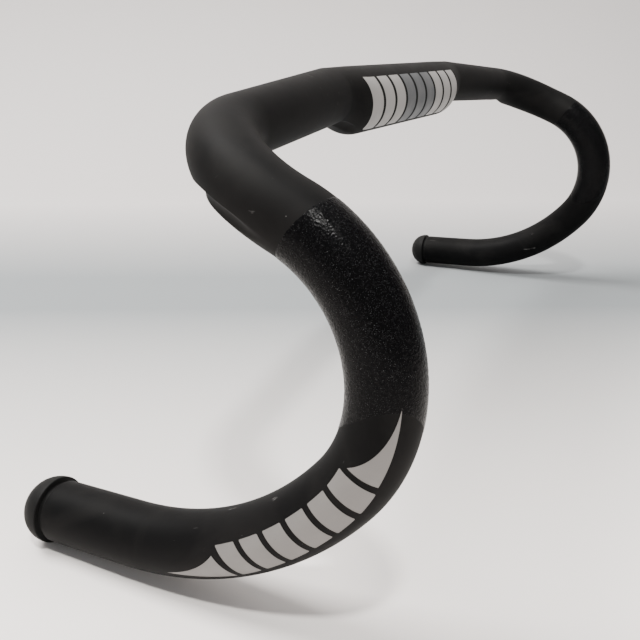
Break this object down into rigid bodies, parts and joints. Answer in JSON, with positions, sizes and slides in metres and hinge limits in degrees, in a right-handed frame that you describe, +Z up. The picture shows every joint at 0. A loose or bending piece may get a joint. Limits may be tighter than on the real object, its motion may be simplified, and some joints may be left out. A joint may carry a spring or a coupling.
{
  "type": "drop handlebar",
  "caption": "Bare road bicycle drop handlebar in moulded carbon: round clamp zone, swept tops, flared compact drops, gritty lever clamp bands and domed expander end plugs.",
  "frame": {"origin": "middle of the stem clamp zone, on its axis", "axes": "+X along the clamp towards the rider's right, +Y forward towards the hooks, +Z up, with the bar turned as it stands on its drops"},
  "size_m": [0.4676, 0.1595, 0.1761],
  "materials": {
    "satin_carbon": "satin clear coat over black carbon",
    "grit_band": "glossy coarse grit",
    "light_graphic": "satin light silver film",
    "grey_graphic": "satin mid grey film",
    "raw_carbon": "unpainted laminate",
    "plug_plastic": "matte moulded",
    "plug_rubber": "matte rubber",
    "plug_metal": "turned",
    "screw_steel": "black oxide"
  },
  "bodies": {
    "bar": {"centre_section": "satin_carbon", "right_drop": "satin_carbon", "left_drop": "satin_carbon", "right_joint_sleeve": "raw_carbon", "left_joint_sleeve": "raw_carbon"},
    "right_plug": {"right_plug_cap": "plug_plastic", "right_plug_expander": "plug_rubber"},
    "right_screw": {"right_plug_screw": "screw_steel"},
    "right_nut": {"right_plug_nut": "plug_metal"},
    "left_plug": {"left_plug_cap": "plug_plastic", "left_plug_expander": "plug_rubber"},
    "left_screw": {"left_plug_screw": "screw_steel"},
    "left_nut": {"left_plug_nut": "plug_metal"}
  },
  "joints": [
    {"name": "right_plug_pull", "type": "slide", "parent": "bar", "child": "right_plug", "axis": [0.0023, -0.999, -0.0436], "range_m": [0, 0.045]},
    {"name": "right_nut_travel", "type": "slide", "parent": "right_plug", "child": "right_nut", "axis": [-0.0023, 0.999, 0.0436], "range_m": [0, 0.0021]},
    {"name": "right_screw_turn", "type": "hinge", "parent": "right_plug", "child": "right_screw", "pos_m": [0.2208, -0.04859, -0.14712], "axis": [0.0023, -0.999, -0.0436], "range_deg": [0, 1081]},
    {"name": "left_plug_pull", "type": "slide", "parent": "bar", "child": "left_plug", "axis": [-0.0023, -0.999, -0.0436], "range_m": [0, 0.045]},
    {"name": "left_nut_travel", "type": "slide", "parent": "left_plug", "child": "left_nut", "axis": [0.0023, 0.999, 0.0436], "range_m": [0, 0.0021]},
    {"name": "left_screw_turn", "type": "hinge", "parent": "left_plug", "child": "left_screw", "pos_m": [-0.2208, -0.04859, -0.14712], "axis": [-0.0023, -0.999, -0.0436], "range_deg": [0, 1081]}
  ],
  "couplings": [
    {"joint": "right_screw_turn", "follows": "right_nut_travel", "rad_per_m": 8976},
    {"joint": "left_screw_turn", "follows": "left_nut_travel", "rad_per_m": 8976}
  ]
}
